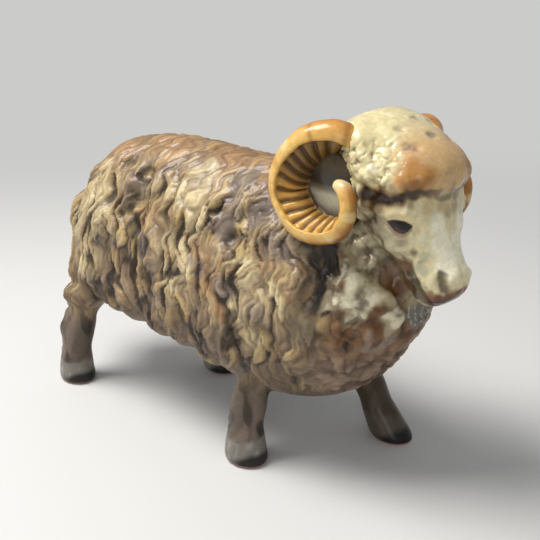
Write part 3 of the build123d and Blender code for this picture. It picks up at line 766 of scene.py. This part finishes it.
# nostrils, and the lips from their upper line down
nostrils = [(34.7, 5.0, 71.8, 2.0), (35.0, 5.4, 70.8, 2.2), (35.3, 5.2, 69.8, 2.1), (35.7, 4.8, 68.8, 2.0)]
wash(paint, "51442f", head_patch(nostrils, 0.9) * 0.9)
above_lip = h_up - (68.3 + 0.3 * np.clip(5.5 - np.abs(h_left), 0, 5.5))
lip_edge = 0.5 * drift(places, 4, 1, 61)
lips = head_zone * ramp(h_ahead, 29.5, 33) * (1 - ramp(above_lip + lip_edge, -1.0, 0.3))
wash(paint, "70462f", lips * (0.55 + 0.4 * (1 - ramp(above_lip, -1.6, -0.3))))
wash(paint, "3a1f12", lips * (1 - ramp(above_lip, -3.8, -1.2)) * 0.85)
wash(paint, "c5b592", head_zone * head_patch([(35.6, 5.0, 67.8, 1.0)], 0.8) * 0.5)
keep_paint(clay, paint)

# the glaze: clear and softly shining over the fleece, with a fine speckle, and glossier on the face
fleece_glaze = bpy.data.materials.new("painted_glaze")
fleece_glaze.use_nodes = True
nodes = fleece_glaze.node_tree.nodes
links = fleece_glaze.node_tree.links
shader = nodes["Principled BSDF"]
brushed = nodes.new("ShaderNodeAttribute")
brushed.attribute_name = "paint"
where_at = nodes.new("ShaderNodeTexCoord")
speckle = nodes.new("ShaderNodeTexNoise")
speckle.inputs["Scale"].default_value = 900
speckle.inputs["Detail"].default_value = 3
links.new(where_at.outputs["Object"], speckle.inputs["Vector"])
speckle_ramp = nodes.new("ShaderNodeMapRange")
speckle_ramp.inputs["From Min"].default_value = 0.3
speckle_ramp.inputs["From Max"].default_value = 0.7
speckle_ramp.inputs["To Min"].default_value = 0.88
speckle_ramp.inputs["To Max"].default_value = 1.08
links.new(speckle.outputs["Fac"], speckle_ramp.inputs["Value"])
shaded = nodes.new("ShaderNodeVectorMath")
shaded.operation = "SCALE"
links.new(brushed.outputs["Color"], shaded.inputs[0])
links.new(speckle_ramp.outputs["Result"], shaded.inputs["Scale"])
links.new(shaded.outputs["Vector"], shader.inputs["Base Color"])
shader.inputs["Roughness"].default_value = 0.5
shader.inputs["Specular IOR Level"].default_value = 0.15
shader.inputs["Coat Weight"].default_value = 0.4
shader.inputs["Coat Roughness"].default_value = 0.22
skin_bump = nodes.new("ShaderNodeBump")
skin_bump.inputs["Strength"].default_value = 0.25
skin_bump.inputs["Distance"].default_value = 0.0002
links.new(speckle.outputs["Fac"], skin_bump.inputs["Height"])
links.new(skin_bump.outputs["Normal"], shader.inputs["Normal"])
face_glaze = fleece_glaze.copy()
face_glaze.name = "face_glaze"
face_shader = face_glaze.node_tree.nodes["Principled BSDF"]
face_shader.inputs["Roughness"].default_value = 0.42
face_shader.inputs["Coat Weight"].default_value = 0.6
face_shader.inputs["Coat Roughness"].default_value = 0.12


# The finished castings: the one figure is cut again where its castings were luted together, each
# becomes a closed piece of glazed earthenware, and the cuts lie under the wool and the glaze.
cast_pieces = [
    # piece, CAD node and slot, in the order of the labels
    ("ram_body", "body_casting", "fleece_glaze"), ("ram_head", "head_casting", "face_glaze"),
    ("right_fore_leg", "right_foreleg", "leg_glaze"), ("left_fore_leg", "left_foreleg", "leg_glaze"),
    ("right_rear_leg", "right_hind_leg", "leg_glaze"), ("left_rear_leg", "left_hind_leg", "leg_glaze"),
    ("tail_lock", "tail", "fleece_glaze"),
]
HEAD_LABEL = 1
FIRST_LEG_LABEL = 2
TAIL_LABEL = 6
LEG_CUT_UP = 18.6
LEG_INNER = 4.4
TAIL_CUT_AHEAD = -77.5
leg_roots = [
    # middle, side, and reach ahead and back, of each leg
    (24, -1, 16), (42, 1, 20), (-60, -1, 18), (-38, 1, 22),
]
middles = vectors_of(clay.data.polygons, "center") * MM
labels = np.zeros(len(middles), int)
labels[above_neck(middles[:, 0], middles[:, 2]) > 0] = HEAD_LABEL
for number, (middle_ahead, side, reach) in enumerate(leg_roots):
    round_leg = (np.abs(middles[:, 0] - middle_ahead) < reach) & (side * middles[:, 1] > LEG_INNER)
    labels[round_leg & (middles[:, 2] < LEG_CUT_UP)] = FIRST_LEG_LABEL + number
labels[middles[:, 0] < TAIL_CUT_AHEAD] = TAIL_LABEL

# A facet that stands alone across a cut goes with its neighbours, so that each cut is one clean ring
skin_mesh = bmesh.new()
skin_mesh.from_mesh(clay.data)
for _ in range(3):
    at_cuts = set()
    for edge in skin_mesh.edges:
        if len({labels[face.index] for face in edge.link_faces}) > 1:
            at_cuts.update(edge.link_faces)
    for face in sorted(at_cuts, key=lambda face: face.index):
        beside = [labels[other.index] for edge in face.edges for other in edge.link_faces if other != face]
        strange = [label for label in beside if label != labels[face.index]]
        if len(strange) * 2 > len(beside):
            labels[face.index] = strange[0]
skin_mesh.free()


def close_cuts(mesh):
    """Fills the ring of each cut by itself, with facets that face out as the skin round them does."""
    rim = [edge for edge in mesh.edges if edge.is_boundary]
    settled = set(mesh.faces)
    unmet = set(rim)
    while unmet:
        ring = [min(unmet, key=lambda edge: edge.index)]
        unmet.discard(ring[0])
        for edge in ring:
            for vertex in edge.verts:
                for other in vertex.link_edges:
                    if other in unmet:
                        unmet.discard(other)
                        ring.append(other)
        bmesh.ops.triangle_fill(mesh, edges=ring, use_beauty=False)
    bmesh.ops.holes_fill(mesh, edges=[edge for edge in mesh.edges if edge.is_boundary], sides=0)
    waiting = list(rim)
    while waiting:
        edge = waiting.pop()
        if len(edge.link_faces) != 2:
            continue
        known, fresh = edge.link_faces
        if known not in settled:
            known, fresh = fresh, known
        if known not in settled or fresh in settled:
            continue
        starts = {loop.face: loop.vert for loop in edge.link_loops}
        if starts[known] == starts[fresh]:
            fresh.normal_flip()
        settled.add(fresh)
        waiting.extend(fresh.edges)


clay.data.materials.clear()
smooth_normals = normals_of(clay)
for label, (name, node, slot) in enumerate(cast_pieces):
    mesh = bmesh.new()
    mesh.from_mesh(clay.data)
    source = mesh.verts.layers.int.new("source")
    for vertex in mesh.verts:
        vertex[source] = vertex.index
    mesh.faces.ensure_lookup_table()
    others = [mesh.faces[index] for index in np.nonzero(labels != label)[0]]
    bmesh.ops.delete(mesh, geom=others, context="FACES")
    close_cuts(mesh)
    piece_mesh = bpy.data.meshes.new(name)
    sources = [vertex[source] for vertex in mesh.verts]
    mesh.to_mesh(piece_mesh)
    mesh.free()
    piece = bpy.data.objects.new(name, piece_mesh)
    bpy.context.collection.objects.link(piece)
    piece_mesh.materials.append(face_glaze if name == "ram_head" else fleece_glaze)
    for polygon in piece_mesh.polygons:
        polygon.use_smooth = True
    piece_mesh.normals_split_custom_set_from_vertices(smooth_normals[sources].tolist())
    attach(piece, "root")
    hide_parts(node)
bpy.data.objects.remove(clay)

# The horns: two solid castings luted to the sides of the head. Each is a tapering coil with a
# rolled outer rim and a ribbed hollow face, closed at its middle by a thin web. An ochre wash
# covers them, with brown run into the ribs.
horn_line = [
    # ahead of and above the coil's middle, out from the head's middle, breadth, thickness
    (8.6, 7.6, 5.5, 7.0, 7.0), (5.2, 9.4, 9.5, 9.6, 8.8), (0.8, 10.9, 13.8, 12.8, 10.2),
    (-4.0, 9.8, 16.6, 13.1, 10.0), (-7.1, 7.5, 17.8, 12.6, 9.7), (-10.0, 4.4, 18.6, 11.9, 9.3),
    (-11.9, 0.4, 19.2, 11.1, 9.0), (-12.0, -3.7, 19.4, 10.6, 8.8), (-9.5, -7.1, 19.6, 10.4, 8.6),
    (-5.6, -10.3, 19.9, 9.9, 8.4), (-1.5, -11.1, 20.1, 9.2, 8.0), (3.0, -10.8, 20.3, 8.3, 7.2),
    (6.9, -9.6, 20.4, 7.2, 6.4), (9.4, -7.4, 20.5, 6.3, 5.6), (10.8, -4.3, 20.5, 5.5, 5.0),
    (10.8, -1.2, 20.5, 5.0, 4.6), (9.5, 0.9, 20.4, 4.6, 4.2), (7.5, 1.7, 20.3, 3.6, 3.4),
    (6.0, 1.3, 20.2, 1.6, 1.5),
]
horn_rings = 230
horn_sides = 72
# how far the coil's face is turned up from the side, and how far apart the ribs are
horn_tilt = radians(46)
rib_step = radians(16.2)
rib_height = 0.95
face_hollow = 0.46
COIL_AHEAD = 5.5
COIL_UP = 92.0


def eased(stations, share):
    """A smooth curve through evenly numbered stations."""
    stations = np.array(stations, float)
    spot = share * (len(stations) - 1)
    low = np.clip(np.floor(spot).astype(int), 0, len(stations) - 2)
    part = (spot - low)[:, None]
    one = stations[np.clip(low - 1, 0, None)]
    two = stations[low]
    three = stations[low + 1]
    four = stations[np.clip(low + 2, None, len(stations) - 1)]
    return 0.5 * (2 * two + (three - one) * part + (2 * one - 5 * two + 4 * three - four) * part**2
                  + (3 * two - one - 3 * three + four) * part**3)


line = eased(horn_line, np.linspace(0, 1, horn_rings))
# ahead, outward, above
middle_line = np.stack([line[:, 0], line[:, 2], line[:, 1]], 1)
heading = unit(np.gradient(middle_line, axis=0))
outward = np.array([0, 1.0, 0])
rim_way = unit(np.cross(heading, outward))
rim_way *= np.sign((rim_way * (middle_line - [0, 20, 0]) * [1, 0, 1]).sum(1))[:, None]
broad_way = unit(square_to(rim_way * cos(horn_tilt) + outward * sin(horn_tilt), heading))
face_way = square_to(-rim_way * sin(horn_tilt) + outward * cos(horn_tilt), heading)
face_way = unit(square_to(face_way, broad_way))
around = np.arange(horn_sides) * FULL_TURN / horn_sides
run = np.concatenate([[0], np.cumsum(np.linalg.norm(np.diff(middle_line, axis=0), axis=1))])[:, None]
broad = np.broadcast_to(np.cos(around), (horn_rings, horn_sides))
thick = np.broadcast_to(np.sin(around), (horn_rings, horn_sides))
# the face is hollowed between its inner edge and the rolled rim
on_face = ramp(thick, 0.1, 0.5) * (1 - ramp(broad, 0.50, 0.72))
hollowed = face_hollow * on_face * (1 - ramp(run, 58, 68))
# ribs run from the rim to the middle, closer together towards the tip
turned = np.unwrap(np.arctan2(middle_line[:, 2], middle_line[:, 0]))
rib_phase = (turned / rib_step)[:, None] + 0.25 * np.sin(broad * 2.2)
rib = (0.5 + 0.5 * np.cos(rib_phase * FULL_TURN)) ** 2.2
rib_depth = rib_height * ramp(thick, 0.0, 0.35) * (1 - ramp(broad, 0.42, 0.66))
rib_depth *= (1 - ramp(run, 55, 66)) * ramp(run, 3, 8)
swell = 0.12 * np.sin(rib_phase * FULL_TURN) * (1 - on_face) * 0.6
lift = thick * line[:, 4:5] / 2 * (1 - hollowed) - rib * rib_depth + swell
spread = broad * line[:, 3:4] / 2
horn_points = middle_line[:, None] + broad_way[:, None] * spread[..., None]
horn_points = horn_points + face_way[:, None] * lift[..., None]

horn_paint = base_coat("c8953f", horn_rings * horn_sides)


def wash_horn(colour, share):
    """Lays one colour over the horn, by a share for each ring and side."""
    wash(horn_paint, colour, np.broadcast_to(share, (horn_rings, horn_sides)).reshape(-1))


horn_upper_shade = ramp(middle_line[:, 2], -3, 5)[:, None]
mottle = np.sin(run * 0.55 + 2 * np.sin(run * 0.21)) * np.cos(around + 0.4)
band_spots = ((7.5, 1.1), (10.5, 0.9), (17, 0.8))
root_bands = np.maximum.reduce([near(run, spot, width) for spot, width in band_spots])
turned_down = ramp(-broad_way[:, 2], 0.1, 0.7)[:, None]
under_rim_shade = (1 - ramp(thick, -0.55, 0.25)) * turned_down * ramp(broad, -0.2, 0.5)
wash_horn("d8b46a", ramp(broad, 0.2, 0.9) * ramp(thick, -0.5, 0.3) * 0.7)
wash_horn("8a5a26", (1 - ramp(thick, -0.7, 0.0)) * 0.75)
wash_horn("8c6a3c", on_face * (1 - ramp(broad, -0.9, 0.1)) * 0.8)
# painted shade: the ribs of the face are darkened in the upper half of the coil
wash_horn("3d2b14", on_face * horn_upper_shade * ramp(rib_depth, 0.05, 0.4) * 0.7)
wash_horn("b97a34", ramp(mottle, 0.15, 0.9) * (1 - on_face) * 0.55)
wash_horn("e6cf92", ramp(-mottle, 0.3, 0.95) * (1 - on_face) * 0.6)
wash_horn("3a230d", rib * ramp(rib_depth, 0.1, 0.5) * 0.9)
# painted shade: the inner edge of the face is darkened in the upper hollow near the root
wash_horn("4b3720", on_face * (1 - ramp(broad, -0.7, 0.3)) * (1 - ramp(run, 22, 34)) * 0.85)
wash_horn("8a5a2c", root_bands[:, None] * (1 - on_face) * 0.6)
wash_horn("e2d3a6", ramp(run, 67, 72) * 0.75)
# painted shade: orange brown on the outer side of the coil where it faces down
wash_horn("6b3410", under_rim_shade * 0.85)

horn_glaze = face_glaze.copy()
horn_glaze.name = "horn_glaze"
horn_faces = []
for ring in range(horn_rings - 1):
    this_ring = ring * horn_sides
    next_ring = this_ring + horn_sides
    for side in range(horn_sides):
        after = (side + 1) % horn_sides
        horn_faces.append((this_ring + side, this_ring + after, next_ring + after, next_ring + side))
horn_faces.append(tuple(range(horn_sides - 1, -1, -1)))
horn_faces.append(tuple(range((horn_rings - 1) * horn_sides, horn_rings * horn_sides)))
# half sizes of the web: along the coil, through it and up
WEB_HALF = (9.6, 2.6, 10.0)
horns = [
    # piece, CAD node, side, and how far it sits ahead of and above the near one
    ("horn_right", "right_horn", -1, 0.0, 0.0), ("horn_left", "left_horn", 1, 4.6, -1.2),
]
for name, node, side, advance, rise in horns:
    spots = horn_points.reshape(-1, 3) + [COIL_AHEAD + advance, 0, COIL_UP + rise]
    spots = HEAD_FOOT + spots[:, :1] * AHEAD + side * spots[:, 1:2] * LEFT + spots[:, 2:] * UP
    horn_mesh = bpy.data.meshes.new(name)
    horn_mesh.from_pydata((spots / MM).tolist(), [], horn_faces)
    horn = bpy.data.objects.new(name, horn_mesh)
    bpy.context.collection.objects.link(horn)
    keep_paint(horn, horn_paint)
    horn_mesh.materials.append(horn_glaze)
    # the web in the middle of the coil: pale below, and painted near black above as shade in the hollow
    web_place = from_head(COIL_AHEAD - 1.0 + advance, side * 13.6, COIL_UP - 1.2 + rise) / MM
    web_turn = (-side * radians(8), 0, -turn)
    bpy.ops.mesh.primitive_uv_sphere_add(
        segments=40, ring_count=20, radius=1 / MM, location=web_place, rotation=web_turn)
    web = bpy.context.object
    web.scale = WEB_HALF
    web.data.materials.append(horn_glaze)
    web_up = points_of(web)[:, 2] * WEB_HALF[2]
    web_paint = base_coat("bbb7a3", len(web_up))
    wash(web_paint, "8d8878", 1 - ramp(web_up, -7.5, -4.5))
    wash(web_paint, "21150a", ramp(web_up, -1.2, 0.6) * 0.96)
    wash(web_paint, "5a4a30", ramp(web_up, 3.0, 7.0) * 0.6)
    keep_paint(web, web_paint)
    pick_only(horn, web)
    bpy.ops.object.join()
    bpy.ops.object.mode_set(mode="EDIT")
    bpy.ops.mesh.select_all(action="SELECT")
    bpy.ops.mesh.normals_make_consistent(inside=False)
    bpy.ops.object.mode_set(mode="OBJECT")
    bpy.ops.object.shade_smooth()
    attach(horn, "root")
    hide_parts(node)
